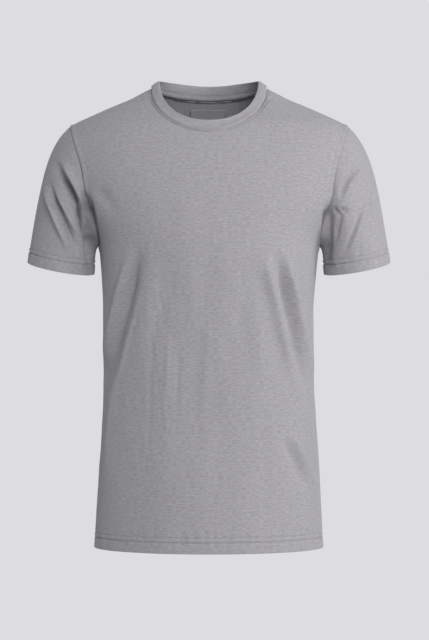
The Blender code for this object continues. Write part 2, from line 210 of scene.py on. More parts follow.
def bodyPoint(face, across, drop):
    n = squareness(drop)
    share = min(abs(across) / halfWidth(face, drop), 1)
    return Vector((across, face * bodyDepth[face](drop) * (1 - share ** n) ** (1 / n), -drop)) * mm


def neckline(face, turn):
    # turn runs from 0 at the wearer's right high point to pi at the left one
    across, drop = -bodyCut["neckHalfWidth"] * math.cos(turn), bodyCut["neckDrop"][face]
    return across, drop * math.sin(turn) ** (1 if face == front else 2)


def topEdgeDrop(face, share):
    across = share * bodyCut["shoulderHalfWidth"]
    if across > bodyCut["neckHalfWidth"]:
        return shoulderDropAt(across)
    return neckline(face, math.acos(across / bodyCut["neckHalfWidth"]))[1]


def armholeShares():
    # the rows' way from the armpit up to the shoulder seam, close together at the seam
    height = bodyCut["armpitDrop"] - bodyCut["shoulderDrop"]
    fine = [1 - step / height for step in reversed(weaveGrid["topSteps"])]
    count = weaveGrid["armholeRows"] - len(fine) + 1
    return [fine[0] * i / count for i in range(count)] + fine


# heights of the rows over a turned hem: two in the rounded edge, then even ones
hemHeights = [0, 0.3 * hems["foldRadius"]]
hemHeights += [hems["foldRadius"] + weaveGrid["hemStep"] * i for i in range(weaveGrid["hemSteps"])]


def sideDrops():
    # the rows' drops from the hem up to the armpit
    start = bodyCut["length"] - hemHeights[-1] - weaveGrid["hemStep"]
    count = weaveGrid["sideRows"]
    rows = [start + (bodyCut["armpitDrop"] - start) * i / count for i in range(count)]
    return [bodyCut["length"] - height for height in hemHeights] + rows


ups = armholeShares()
drops = sideDrops()


def softTopDrop(face, share):
    # the top edge with its corner at the high point eased, for the rows further down
    steps = [min(abs(share + bodyCut["cornerEase"] * i), 1) for i in range(-5, 6)]
    return sum(topEdgeDrop(face, step) for step in steps) / len(steps)


def rowPoints(face, row, shares, topDrops, softDrops):
    if row < len(drops):
        return [bodyPoint(face, share * sideOut(drops[row]), drops[row]) for share in shares]
    up = ups[row - len(drops)]
    out, _, sideDrop = armholeSeam(face, math.pi * (1 - up))
    points = []
    for share, topDrop, softDrop in zip(shares, topDrops, softDrops):
        topDrop += (softDrop - topDrop) * (1 - up ** 5) * smoothStep(0.85, 0.6, share)
        even = bodyCut["armpitDrop"] + (topDrop - bodyCut["armpitDrop"]) * up
        edge = sideDrop + (topDrop - bodyCut["shoulderDrop"]) * up
        points.append(bodyPoint(face, share * out, even + (edge - even) * share ** 4))
    return points


def lengthsAlong(points):
    lengths = [0]
    for a, b in zip(points, points[1:]):
        lengths.append(lengths[-1] + (b - a).length)
    return lengths


def spreadAlong(points, lengths, wanted):
    # points at these lengths along a line
    spread = []
    for want in wanted:
        i = min(max(bisect_right(lengths, want) - 1, 0), len(points) - 2)
        t = (want - lengths[i]) / (lengths[i + 1] - lengths[i])
        spread.append(points[i].lerp(points[i + 1], min(max(t, 0), 1)))
    return spread


def topRow(face):
    # from the middle of the neckline to the high point, then down the shoulder seam
    neckColumns, shoulderColumns = weaveGrid["neckColumns"], weaveGrid["shoulderColumns"]
    points = []
    for i in range(neckColumns):
        points.append(bodyPoint(face, *neckline(face, math.pi / 2 * (1 + i / neckColumns))))
    for i in range(shoulderColumns + 1):
        drop = bodyCut["shoulderDrop"] * i / shoulderColumns
        points.append(bodyPoint(face, halfWidth(face, drop), drop))
    return points


def bodyRows(face):
    # rows of places from the hem to the neckline, each from the middle out to the side
    top = topRow(face)
    topLengths = lengthsAlong(top)
    topShares = [length / topLengths[-1] for length in topLengths]
    edges = weaveGrid["edgeSteps"]
    plain = len(top) - len(edges)
    samples = weaveGrid["rowSamples"]
    fine = [math.sin(math.pi / 2 * i / samples) for i in range(samples + 1)]
    topDrops = [topEdgeDrop(face, share) for share in fine]
    softDrops = [softTopDrop(face, share) for share in fine]
    rows = []
    for row in range(len(drops) + len(ups) - 1):
        line = rowPoints(face, row, fine, topDrops, softDrops)
        lengths = lengthsAlong(line)
        whole = lengths[-1]
        inner = whole - edges[-1] * mm
        wanted = [inner * i / plain for i in range(plain)] + [whole - step * mm for step in reversed(edges)]
        up = 0 if row < len(drops) else ups[row - len(drops)]
        gather = smoothStep(0, 1, up)
        wanted = [want + (share * whole - want) * gather for want, share in zip(wanted, topShares)]
        rows.append(spreadAlong(line, lengths, wanted))
    rows.append(top)
    mirror = Vector((-1, 1, 1))
    return [[point * mirror for point in reversed(line[1:])] + line for line in rows]


def sleeveHemPoint(face, turn):
    middle = (sleeveCut["hemOuter"] + sleeveCut["hemInner"]) / 2
    half = (sleeveCut["hemOuter"] - sleeveCut["hemInner"]) / 2
    side = math.sin(turn)
    return middle + half * math.cos(turn) + Vector((0, face * sleeveCut["hemHalfDepth"] * side,
                                                    -sleeveCut["hemDroop"][face] * side))


def sleeveStrip(face, turn):
    # one strip of the sleeve, in a curve from the armhole seam to the hem
    out, deep, drop = armholeSeam(face, turn)
    start, end = Vector((out, face * deep, -drop)), sleeveHemPoint(face, turn)
    way = sleeveCut["overTop"] * max(math.cos(turn), 0) + sleeveCut["underArm"] * max(-math.cos(turn), 0)
    way += sleeveCut["beside"] * Vector((1, face, 1)) * math.sin(turn)
    length = (end - start).length
    leave = start + way.normalized() * length * sleeveCut["leave"]
    arrive = end - sleeveCut["hemWay"] * length * sleeveCut["arrive"]
    points = []
    for i in range(weaveGrid["stripSamples"] + 1):
        t = i / weaveGrid["stripSamples"]
        points.append(start * (1 - t) ** 3 + leave * 3 * t * (1 - t) ** 2
                      + arrive * 3 * t * t * (1 - t) + end * t ** 3)
    return points


def sleeveRows(hand):
    # rows of places from the hem up to the armhole seam, as on the body
    turns = [(front, math.pi * (1 - up)) for up in ups]
    turns += [(back, math.pi * (1 - up)) for up in reversed(ups[:-1])]
    strips = []
    for face, turn in turns:
        line = sleeveStrip(face, turn)
        lengths = lengthsAlong(line)
        whole = lengths[-1]
        seam = [step * min(1, whole / weaveGrid["shortStrip"]) for step in weaveGrid["edgeSteps"]]
        first, count = whole - hemHeights[-1] - weaveGrid["hemStep"], weaveGrid["sleeveRows"]
        wanted = [whole - height for height in hemHeights]
        wanted += [first + (seam[-1] - first) * i / count for i in range(count)]
        strips.append(spreadAlong(line, lengths, wanted + seam[::-1]))
    return [[Vector((point.x * hand, point.y, point.z)) * mm for point in line] for line in zip(*strips)]


def layGrid(cloth, piece, places, sizes, middle, facing=1):
    # a flat grid, then each of its points goes to its place; it faces away from the middle
    rows, columns = len(places), len(places[0])
    made = bmesh.ops.create_grid(cloth, x_segments=columns - 1, y_segments=rows - 1, size=0.5)
    tag, uv = cloth.faces.layers.int["piece"], cloth.loops.layers.uv["cut"]
    grid = [[None] * columns for _ in range(rows)]
    faces = set()
    flat = {}
    for vert in made["verts"]:
        column, row = round((vert.co.x + 0.5) * (columns - 1)), round((vert.co.y + 0.5) * (rows - 1))
        grid[row][column] = vert
        flat[vert] = sizes[row][column]
        vert.co = places[row][column]
        faces.update(vert.link_faces)
    for face in faces:
        face[tag] = piece
        face.smooth = True
        for loop in face.loops:
            loop[uv].uv = flat[loop.vert]
    face = grid[rows // 2][columns // 2].link_faces[0]
    face.normal_update()
    if face.normal.dot(face.calc_center_median() - middle) * facing < 0:
        bmesh.ops.reverse_faces(cloth, faces=list(faces))
    return grid


def flatSizes(places):
    # each point's place on the flat cloth, in metres: along its row, and up its column
    middle = len(places[0]) // 2
    climbs = zip(*[lengthsAlong(column) for column in zip(*places)])
    sizes = []
    for row, rises in zip(places, climbs):
        along = lengthsAlong(row)
        sizes.append([(length - along[middle], rise) for length, rise in zip(along, rises)])
    return sizes


def levelSizes(places):
    # the same on the body, where the rows of knitting hang level
    middle = len(places[0]) // 2
    sizes = []
    for row in places:
        along = lengthsAlong(row)
        sizes.append([(length - along[middle], point.z + bodyCut["length"] * mm)
                      for length, point in zip(along, row)])
    return sizes


# Folds, in the frame's millimetres on each face: acrossTop, dropTop, acrossFoot, dropFoot,
# bow, sway, leftWidth, rightWidth, height. Where the height is below zero it is a trough.
folds = {
    front: [
        # body, the wearer's right: long drags from the armpit to the waist
        (-101, 236, -178, 508, 0, 0, 7, 12, -17),
        (-119, 246, -168, 452, -2, 0, 4.5, 4, 5),
        (-98, 300, -152, 500, 0, 0, 3, 3, 3.5),
        (-140, 420, -162, 640, -3, 0, 5, 9, 4.2),
        (-84, 262, -120, 470, 3, 0, 17, 14, 3),
        (-176, 156, -136, 208, 4, 0, 9, 9, -3.6),
        (-5, 320, -7, 600, 0, 2, 5, 6, 0.8),
        (-62, 330, -66, 540, 1, 1, 3, 3.4, 0.9),
        (-84, 350, -92, 580, 0, 1, 3, 3.5, -1.2),
        (-46, 380, -49, 570, 0, 1, 2.8, 3, -0.8),
        # body, the wearer's left
        (80, 244, 139, 490, 0, 0, 9, 8, 7),
        (98, 244, 163, 520, 0, 0, 9, 7, -13),
        (113, 244, 165, 464, 0, 0, 5, 5, 6.5),
        (108, 528, 158, 636, 0, 0, 8, 6, -4.4),
        (124, 526, 172, 630, 0, 0, 6, 4.5, 5.5),
        (60, 300, 84, 470, 3, 1, 14, 12, 1.8),
        # the sleeve on the wearer's right
        (-239, 110, -172, 274, 9.5, 0, 8, 3.2, -18),
        (-231, 110, -180, 232, 7, 0, 3, 7, 8),
        (-256, 146, -210, 268, 0, 0, 3.4, 5, 9),
        (-247, 146, -196, 266, 0, 0, 4.5, 4, -10),
        (-240, 150, -181, 266, 0, 0, 3.4, 5.5, 9),
        (-232, 160, -182, 264, 0, 0, 4.5, 3.5, -6),
        (-191, 156, -173, 312, 4, 0, 9, 6, -22),
        # the sleeve on the wearer's left
        (234, 120, 197, 180, -8, 0, 3, 6, -3.5),
        (241, 124, 203, 188, -8, 0, 3.2, 9, 3),
        (187, 189, 203, 202, 0, 0, 3.2, 3.2, -6),
        (197, 191, 215, 195, 0, 0, 3, 3, -5),
        (205, 192, 192, 250, -3, 0, 4.5, 4, -5),
        (238, 178, 200, 270, 2, 0, 3.6, 3, -4.5),
        (250, 140, 247, 210, 0, 0, 4, 6, 3.6),
        (181, 172, 178, 300, -1, 0, 5, 9, -11),
    ],
    back: [
        (-90, 250, -135, 460, 4, 0, 11, 10, -8),
        (-118, 330, -150, 560, 2, 1, 6, 8, 5.5),
        (-64, 240, -112, 420, 3, 0, 12, 8, 4),
        (84, 260, 128, 430, -5, 0, 8, 12, -7),
        (108, 270, 150, 500, -4, 0, 6, 7, 4.8),
        (20, 330, 60, 420, 6, 2, 13, 13, -3.5),
        (-28, 430, -62, 560, 4, 2, 11, 12, -2.8),
        (128, 520, 160, 622, 0, 2, 7, 8, -4),
        (-120, 120, -60, 150, 6, 0, 12, 10, -2.4),
        (-232, 128, -182, 232, -4, 0, 8, 5, -7),
        (-246, 170, -212, 258, 4, 0, 5, 6, 4.4),
        (-190, 176, -180, 340, 4, 0, 9, 4, -11),
        (236, 120, 184, 236, 5, 0, 6, 8, -7),
        (250, 176, 218, 262, -4, 0, 5, 6, 4),
        (190, 176, 182, 340, -4, 0, 4, 9, -12),
    ],
}


def foldLine(fold):
    acrossTop, dropTop, acrossFoot, dropFoot, bow, sway, left, right, height = fold
    top, foot = Vector((acrossTop, -dropTop)), Vector((acrossFoot, -dropFoot))
    along = foot - top
    way = Vector((-along.y, along.x)).normalized()
    return top, along, along.length_squared, way, bow, sway, left, right, height


foldLines = {face: [foldLine(fold) for fold in folds[face]] for face in folds}
foldFade = {
    "rise": 0.3,  # share of its length over which a fold rises, and where it starts to die away
    "fall": 0.55,
    "reach": 3,  # how many widths it is followed for
    "edge": (2, 26),  # folds fade here, in from the side seams
}


def foldLift(x, y, z):
    # how far the folds lift the cloth here, in millimetres
    face = front if y < 0 else back
    at = Vector((x, z))
    lift = 0
    for top, along, square, way, bow, sway, left, right, height in foldLines[face]:
        off = at - top
        t = off.dot(along) / square
        if not 0 < t < 1:
            continue
        across = off.dot(way) - bow * math.sin(math.pi * t) - sway * math.sin(2 * math.pi * t)
        width = left if across < 0 else right
        if abs(across) < foldFade["reach"] * width:
            fade = smoothStep(0, foldFade["rise"], t) * smoothStep(1, foldFade["fall"], t)
            lift += height * fade * math.exp(-((across / width) ** 2))
    return lift * smoothStep(*foldFade["edge"], abs(y))


drape = {
    # soft unevenness: its grain across, deep and down, then its height
    "long": ((46, 60, 150), 1.5),
    "short": ((15, 24, 48), 0.5),
    "shortSeed": 7,
    "waistTop": (240, 340),  # drops between which the waist's own share comes in, and goes
    "waistFoot": (560, 700),
    "calm": (2, 50),  # it comes in over this distance from the neck
}
creases = {
    "side": {front: -92, back: 70},  # where they gather, across
    "spread": 46,
    "elsewhere": 0.25,  # the share that the rest of the waist has
    "top": (250, 330),  # drops between which they come in, and go
    "foot": (520, 620),
    "pitch": 9,
    "length": 170,
    "lean": 0.012,
    "seed": 3,
    "thin": 0.16,  # how much of the noise counts as a crease
    "depth": 0.6,
    # level ones, lower down: their grain, lean, seed and height
    "rippleGrain": (34, 6),
    "rippleLean": 0.01,
    "rippleSeed": 11,
    "rippleFrom": (480, 640),
    "ripple": 0.28,
}


def drapeLift(x, y, z):
    # soft unevenness all over, then a group of thin upright creases at the waist
    face = front if y < 0 else back
    (wide, deep, tall), longHeight = drape["long"]
    long = noise.noise(Vector((x / wide, y / deep, z / tall)))
    (wide, deep, tall), shortHeight = drape["short"]
    short = noise.noise(Vector((x / wide + drape["shortSeed"], y / deep, z / tall)))
    waist = smoothStep(*drape["waistTop"], -z) * smoothStep(*reversed(drape["waistFoot"]), -z)
    lift = longHeight * long * (0.5 + waist) + shortHeight * short * (0.35 + waist)
    across = x / creases["pitch"] + creases["lean"] * z
    thin = abs(noise.noise(Vector((across, creases["seed"] * face, z / creases["length"]))))
    gathered = math.exp(-(((x - creases["side"][face]) / creases["spread"]) ** 2))
    gathered += creases["elsewhere"] * waist
    gathered *= smoothStep(*creases["top"], -z) * smoothStep(*reversed(creases["foot"]), -z)
    lift -= creases["depth"] * gathered * smoothStep(creases["thin"], 0, thin)
    wide, tall = creases["rippleGrain"]
    across = x / wide + creases["rippleLean"] * z
    ripple = noise.noise(Vector((across, creases["rippleSeed"] * face, z / tall)))
    return lift + creases["ripple"] * ripple * smoothStep(*creases["rippleFrom"], -z)


def seamTree(points):
    tree = KDTree(len(points))
    for i, point in enumerate(points):
        tree.insert(point, i)
    tree.balance()
    return tree


def seamLift(distance, seam, allowance):
    # a groove on the seam itself, and the allowance that shows through beside it
    depth, width, height, reach = seam
    lift = -depth * math.exp(-((distance / width) ** 2))
    if allowance:
        far, near = reach + seams["fade"], reach - seams["fade"]
        lift += height * smoothStep(*seams["step"], distance) * smoothStep(far, near, distance)
    return lift


def hemLift(above, along):
    # the doubled hem with its two needle lines, and a slight pucker along them
    if above > hems["puckerTop"]:
        return 0
    plyTop, plyFoot = hems["upperStitch"] + hems["plyEdge"], hems["upperStitch"] - hems["plyEdge"] / 2
    lift = hems["proud"] * smoothStep(plyTop, plyFoot, above)
    for line, depth in (("lowerStitch", 1), ("upperStitch", hems["upperShare"])):
        lift -= depth * hems["groove"] * math.exp(-(((above - hems[line]) / hems["grooveWidth"]) ** 2))
    near = smoothStep(-hems["puckerEdge"], hems["lowerStitch"], above)
    near *= smoothStep(hems["puckerTop"], hems["upperStitch"], above)
    at = Vector((along / hems["puckerPitch"], above / hems["puckerHeight"], hems["puckerSeed"]))
    return lift + hems["pucker"] * near * noise.noise(at)


print("laying out the cut")
panels = {"frontPanel": 0, "backPanel": 1, "sleeveLeft": 2, "sleeveRight": 3}
middles = {
    "frontPanel": Vector((0, 0, -0.3)),
    "backPanel": Vector((0, 0, -0.3)),
    "sleeveLeft": Vector((0.215, 0, -0.22)),
    "sleeveRight": Vector((-0.215, 0, -0.22)),
}
cloth = bmesh.new()
cloth.faces.layers.int.new("piece")
cloth.loops.layers.uv.new("cut")
places = {
    "frontPanel": bodyRows(front),
    "backPanel": bodyRows(back),
    "sleeveLeft": sleeveRows(leftHand),
    "sleeveRight": sleeveRows(rightHand),
}
grids, sizes = {}, {}
for name, piece in panels.items():
    sizes[name] = levelSizes(places[name]) if "Panel" in name else flatSizes(places[name])
    grids[name] = layGrid(cloth, piece, places[name], sizes[name], middles[name])

print("sewing the panels and folding the cloth")
cloth.normal_update()
together = {}
doubles = bmesh.ops.find_doubles(cloth, verts=cloth.verts, dist=weaveGrid["sewnWithin"] * mm)
for vert, other in doubles["targetmap"].items():
    together.setdefault(other, [other]).append(vert)


def sharedNormals():
    # points that are sewn together lean the same way
    normals = {vert: vert.normal.copy() for vert in cloth.verts}
    for group in together.values():
        shared = sum((normals[vert] for vert in group), Vector()).normalized()
        for vert in group:
            normals[vert] = shared
    return normals


seamPoints = {"armhole": [], "side": [], "shoulder": [], "neck": [], "underarm": []}
neckColumns = weaveGrid["neckColumns"]
for name in ("frontPanel", "backPanel"):
    grid = grids[name]
    middle = len(grid[0]) // 2
    for row, line in enumerate(grid):
        seamPoints["side" if row < len(drops) else "armhole"] += [line[0].co.copy(), line[-1].co.copy()]
    for column, vert in enumerate(grid[-1]):
        seamPoints["neck" if abs(column - middle) <= neckColumns else "shoulder"].append(vert.co.copy())
for name in ("sleeveLeft", "sleeveRight"):
    seamPoints["underarm"] += [line[0].co.copy() for line in grids[name]]
seamTrees = {kind: seamTree(points) for kind, points in seamPoints.items()}
seamsOf = {
    # which seams touch the piece, and whether their allowance is pressed towards it
    "frontPanel": {"armhole": True, "side": False, "shoulder": False, "neck": True},
    "backPanel": {"armhole": True, "side": True, "shoulder": True, "neck": True},
    "sleeveLeft": {"armhole": False, "underarm": True},
    "sleeveRight": {"armhole": False, "underarm": True},
}

normals = sharedNormals()
moved = {}
for name, grid in grids.items():
    for row, line in enumerate(grid):
        for column, vert in enumerate(line):
            x, y, z = vert.co / mm
            calm = smoothStep(*drape["calm"], seamTrees["neck"].find(vert.co)[2] / mm)
            lift = foldLift(x, y, z) + drapeLift(x, y, z) * calm
            for kind, allowance in seamsOf[name].items():
                distance = seamTrees[kind].find(vert.co)[2] / mm
                if distance < seams["within"]:
                    seam = seams["armholeLeft" if kind == "armhole" and x > 0 else kind]
                    lift += seamLift(distance, seam, allowance)
                    if kind == "neck":
                        across = (distance - seams["topstitchIn"]) / seams["topstitchWidth"]
                        lift -= seams["topstitchDepth"] * math.exp(-(across ** 2))
            along, above = sizes[name][row][column]
            lift += hemLift(above / mm, along / mm)
            moved[vert] = vert.co + normals[vert] * lift * mm
for group in together.values():
    shared = sum((moved[vert] for vert in group), Vector()) / len(group)
    for vert in group:
        moved[vert] = shared
for vert, place in moved.items():
    vert.co = place

print("turning up the hems")
cloth.normal_update()
normals = sharedNormals()
radius = hems["foldRadius"]
plyHeights = [height for height in hemHeights if height <= hems["turnUp"]]
for name, grid in grids.items():
    plies, plySizes = [], []
    for row, height in enumerate(plyHeights):
        inward = radius - math.sqrt(radius ** 2 - max(radius - height, 0) ** 2)
        plies.append([vert.co - normals[vert] * (2 * radius - inward) * mm for vert in grid[row]])
        plySizes.append([(along, -climb) for along, climb in sizes[name][row]])
        for vert in grid[row]:
            vert.co -= normals[vert] * inward * mm
    layGrid(cloth, panels[name], plies, plySizes, middles[name], facing=-1)
surface = BVHTree.FromBMesh(cloth)


def linear(hexColour):
    # an sRGB hex colour as the linear values that Blender mixes
    parts = [int(hexColour[i:i + 2], 16) / 255 for i in (1, 3, 5)]
    return [c / 12.92 if c <= 0.04045 else ((c + 0.055) / 1.055) ** 2.4 for c in parts] + [1]


def addNode(material, kind, inputs, **settings):
    # one node with its settings; an input is a value or another node's output
    node = material.node_tree.nodes.new(kind)
    for key, value in settings.items():
        setattr(node, key, value)
    for key, value in inputs.items():
        if isinstance(value, bpy.types.NodeSocket):
            material.node_tree.links.new(value, node.inputs[key])
        else:
            node.inputs[key].default_value = value
    return node


def newMaterial(name, constants):
    material = bpy.data.materials.new(name)
    material.use_nodes = True
    shader = material.node_tree.nodes["Principled BSDF"]
    for key, value in constants.items():
        shader.inputs[key].default_value = value
    return material, shader


def patternOn(material, map, width, height, **settings):
    # noise whose grains are this wide and high on the cloth, in millimetres
    grains = (1 / (width * mm), 1 / (height * mm), 1)
    scaled = addNode(material, "ShaderNodeMapping", {"Vector": map, "Scale": grains})
    return addNode(material, "ShaderNodeTexNoise", {
        "Vector": scaled.outputs["Vector"], "Scale": 1.0, **settings})


jersey = {
    "colour": "#a3a1a4",
    "slubLight": "#adabae",
    "slubDark": "#979598",
    "slub": (7, 1.8),  # a thick stretch of yarn, width by height
    "streak": (34, 2.8),  # a thinner row or two of knitting
    "heather": (1.1, 0.8),
    "wale": 1.3,  # really 0.8 mm, drawn coarser so that it shows
    "roughness": 0.92,
    "sheen": 0.22,
    "bump": 0.25,
    "loop": 0.4,  # how far the loops stand up
}


def makeJersey(name, colours):
    # single jersey knitted from slub yarn: matt, with level streaks where the yarn is thick
    material, shader = newMaterial(name, {
        "Roughness": colours["roughness"], "Specular IOR Level": 0.25, "IOR": 1.45,
        "Sheen Weight": colours["sheen"], "Sheen Roughness": 0.5, "Sheen Tint": (1, 1, 1, 1),
    })
    map = addNode(material, "ShaderNodeUVMap", {}, uv_map="cut").outputs["UV"]
    slub = patternOn(material, map, *colours["slub"], Detail=2.0, Roughness=0.55)
    streak = patternOn(material, map, *colours["streak"], Detail=1.0, Roughness=0.5)
    heather = patternOn(material, map, *colours["heather"], Detail=1.0, Roughness=0.5)
    slubs = addNode(material, "ShaderNodeValToRGB", {"Fac": slub.outputs["Fac"]})
    ramp = slubs.color_ramp
    ramp.elements[0].position, ramp.elements[0].color = 0.30, linear(colours["slubDark"])
    ramp.elements[1].position, ramp.elements[1].color = 0.72, linear(colours["slubLight"])
    ramp.elements.new(0.5).color = linear(colours["colour"])
    dim = addNode(material, "ShaderNodeMapRange", {
        "Value": streak.outputs["Fac"], "From Min": 0.3, "From Max": 0.7, "To Min": 0.965, "To Max": 1.03})
    fine = addNode(material, "ShaderNodeMapRange", {
        "Value": heather.outputs["Fac"], "From Min": 0.3, "From Max": 0.7, "To Min": 0.95, "To Max": 1.05})
    both = addNode(material, "ShaderNodeMath", {
        0: dim.outputs["Result"], 1: fine.outputs["Result"]}, operation="MULTIPLY")
    tone = addNode(material, "ShaderNodeVectorMath", {
        0: slubs.outputs["Color"], "Scale": both.outputs["Value"]}, operation="SCALE")
    material.node_tree.links.new(tone.outputs["Vector"], shader.inputs["Base Color"])
    # wales as fine upright ridges, with the slubs standing a little above them
    perMetre = 1 / (colours["wale"] * mm)
    spread = addNode(material, "ShaderNodeMapping", {"Vector": map, "Scale": (perMetre, perMetre, 1)})
    wales = addNode(material, "ShaderNodeTexWave", {
        "Vector": spread.outputs["Vector"], "Scale": 1 / math.pi,
        "Distortion": 1.2, "Detail": 1.0, "Detail Scale": 1.5,
    }, wave_type="BANDS", bands_direction="X", wave_profile="SIN")
    height = addNode(material, "ShaderNodeMath", {
        0: wales.outputs["Fac"], 1: slub.outputs["Fac"]}, operation="ADD")
    bump = addNode(material, "ShaderNodeBump", {
        "Height": height.outputs["Value"], "Strength": colours["bump"], "Distance": colours["loop"] * mm})
    material.node_tree.links.new(bump.outputs["Normal"], shader.inputs["Normal"])
    return material


def toPiece(name, shape, material, nodes, wall=0):
    mesh = bpy.data.meshes.new(name)
    shape.to_mesh(mesh)
    mesh.shade_smooth()
    mesh.materials.append(material)
    piece = bpy.data.objects.new(name, mesh)
    bpy.context.collection.objects.link(piece)
    if wall:
        solid = piece.modifiers.new("wall", "SOLIDIFY")
        solid.thickness = wall * mm
        solid.offset = -1
    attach(piece, "root")
    if nodes:
        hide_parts(*nodes)
    print(name, "has", len(shape.faces), "faces")
    return piece


slubJersey = makeJersey("slubJersey", jersey)
cuts = {
    # piece: CAD node, flat width and length, flat area
    "frontPanel": ("front", (0.50, 0.74), 0.325),
    "backPanel": ("back", (0.50, 0.74), 0.338),
    "sleeveLeft": ("sleeve_left", (0.42, 0.27), 0.060),
    "sleeveRight": ("sleeve_right", (0.42, 0.27), 0.060),
}
for name, (node, flat, area) in cuts.items():
    shape = cloth.copy()
    tag = shape.faces.layers.int["piece"]
    others = [face for face in shape.faces if face[tag] != panels[name]]
    bmesh.ops.delete(shape, geom=others, context="FACES")
    bmesh.ops.remove_doubles(shape, verts=shape.verts, dist=weaveGrid["sewnWithin"] * mm)
    piece = toPiece(name, shape, slubJersey, [node], bodyCut["wall"])

neckRib = {
    "halfWidth": 76.7,  # the folded edge, as a rounded oblong
    "height": 11,
    "drop": {front: 66.5, back: 3},
    "depth": {front: 76, back: 80},
    "squareness": 2.2,
    "backRise": 2.3,  # the back's edge stands higher, most between its middle and the shoulders
    "backEase": (0, 0.35),
    "shoulderRound": 0.05,  # how far along the front edge rounds over the shoulder
    "hollow": 0.9,
    "sideBulge": 2.6,  # over the shoulder it bulges instead
    "thickness": 1.9,
    "tuck": 1.3,  # how far the band runs on under the body
    "under": 0.8,  # and how steeply it dips there
    "proud": 0.8,  # it stands out from the body between these heights
    "proudFrom": (0, 1.6),
    "proudTo": (3, 9),
    "sewn": 1.1,  # how far up the seam pulls it
    "shows": 18,  # its height as sewn on
    "aside": 0.002,  # share of the way round to each side that gives its direction
    "columns": 1040,
    "faceRows": 11,
    "roundRows": 6,
    "ribs": 260,  # one every 2 mm
    "ribHeight": 0.07,
}


def ribEdge(face, turn):
    power = 2 / neckRib["squareness"]
    across, side = math.cos(turn), math.sin(turn)
    x = -neckRib["halfWidth"] * math.copysign(abs(across) ** power, across)
    soft = neckRib["shoulderRound"]
    down = (math.hypot(side, soft) - soft) / (math.hypot(1, soft) - soft)
    z = neckRib["height"] - neckRib["drop"][face] * max(down, 0) ** power
    if face == back:
        z += neckRib["backRise"] * (smoothStep(*neckRib["backEase"], side) + math.sin(2 * turn) ** 2)
    return Vector((x, face * neckRib["depth"][face] * side, z)) * mm


def ribSeam(face, turn):
    # the sewn neck edge of the panels, as it lies now
    line = neckEdges[face]
    at = turn / math.pi * (len(line) - 1)
    i = min(int(at), len(line) - 2)
    return line[i].lerp(line[i + 1], at - i)


def ribAt(around):
    # seam and folded edge at a share of the way round, starting at the wearer's right
    around %= 1
    face = front if around < 0.5 else back
    turn = 2 * math.pi * around if face == front else 2 * math.pi * (1 - around)
    cut = bodyPoint(face, *neckline(face, turn))
    return face, turn, cut, ribEdge(face, turn)


def ribProfile():
    # share up the band, and share through its thickness: outside up, over the fold, inside down
    rows, rounds = neckRib["faceRows"], neckRib["roundRows"]
    steps = [("face", i / rows, 0) for i in range(rows)]
    steps += [("round", 1, i / rounds) for i in range(rounds + 1)]
    steps += [("face", 1 - (i + 1) / rows, 1) for i in range(rows)]
    return steps


print("making the neck band")
middle = len(grids["frontPanel"][0]) // 2
neckEdges = {}
for face, name in ((front, "frontPanel"), (back, "backPanel")):
    edge = grids[name][-1][middle - neckColumns:middle + neckColumns + 1]
    neckEdges[face] = [vert.co.copy() for vert in edge]


def ribColumn(around):
    # one upright line of the band's surface, with the tilt of the band there
    face, turn, cut, edge = ribAt(around)
    _, _, before, beforeEdge = ribAt(around - neckRib["aside"])
    _, _, after, afterEdge = ribAt(around + neckRib["aside"])
    along = (after - before + afterEdge - beforeEdge).normalized()
    up = (edge - cut).normalized()
    outward = along.cross(up).normalized()
    if outward.dot(Vector((cut.x, cut.y, 0.03))) < 0:
        outward.negate()
    hollow = neckRib["hollow"] - neckRib["sideBulge"] * math.cos(turn) ** 6
    return cut, edge, up, outward, ribSeam(face, turn) - cut, hollow


def ribPoint(column, share, through, rounding):
    cut, edge, up, outward, shift, hollowness = column
    height, half = (edge - cut).length / mm, neckRib["thickness"] / 2
    rise = share * (height - half + neckRib["tuck"]) - neckRib["tuck"]
    inward = neckRib["thickness"] * through
    if rounding:
        rise += half * math.sin(math.pi * through)
        inward = half * (1 - math.cos(math.pi * through))
    t = min(max(rise / height, 0), 1)
    hollow = outward * hollowness * mm * 4 * t * (1 - t)
    sewn = math.exp(-((max(rise, 0) / neckRib["sewn"]) ** 2))
    # near the seam the outside follows the panels' edge, and the end tucks in behind it
    under = outward * max(-rise, 0) * neckRib["under"] * mm
    pull = (shift * sewn - under) * (1 - through)
    proud = smoothStep(*neckRib["proudFrom"], rise) * smoothStep(*reversed(neckRib["proudTo"]), rise)
    pull += outward * neckRib["proud"] * proud * mm
    return cut + up * rise * mm - hollow - outward * inward * mm + pull


band = bmesh.new()
band.faces.layers.int.new("piece")
band.loops.layers.uv.new("cut")
profile = ribProfile()
ribColumns = [ribColumn(i / neckRib["columns"]) for i in range(neckRib["columns"] + 1)]
ribLengths = lengthsAlong([column[0].lerp(column[1], 0.5) for column in ribColumns])
bandRows, bandSizes = [], []
for kind, share, through in profile + profile[:1]:
    line, sizeLine = [], []
    for i, column in enumerate(ribColumns):
        wave = math.cos(2 * math.pi * neckRib["ribs"] * ribLengths[i] / ribLengths[-1])
        side = 1 - 2 * through
        rib = column[3] * side * neckRib["ribHeight"] * wave * mm
        line.append(ribPoint(column, share, through, kind == "round") + rib)
        sizeLine.append((ribLengths[i], (share if through < 0.5 else 2 - share) * neckRib["shows"] * mm))
    bandRows.append(line)
    bandSizes.append(sizeLine)
layGrid(band, 0, bandRows, bandSizes, Vector((0, 0, -0.02)))
bmesh.ops.remove_doubles(band, verts=band.verts, dist=weaveGrid["sewnWithin"] * mm)
bmesh.ops.recalc_face_normals(band, faces=band.faces)
if band.calc_volume(signed=True) < 0:
    bmesh.ops.reverse_faces(band, faces=band.faces)
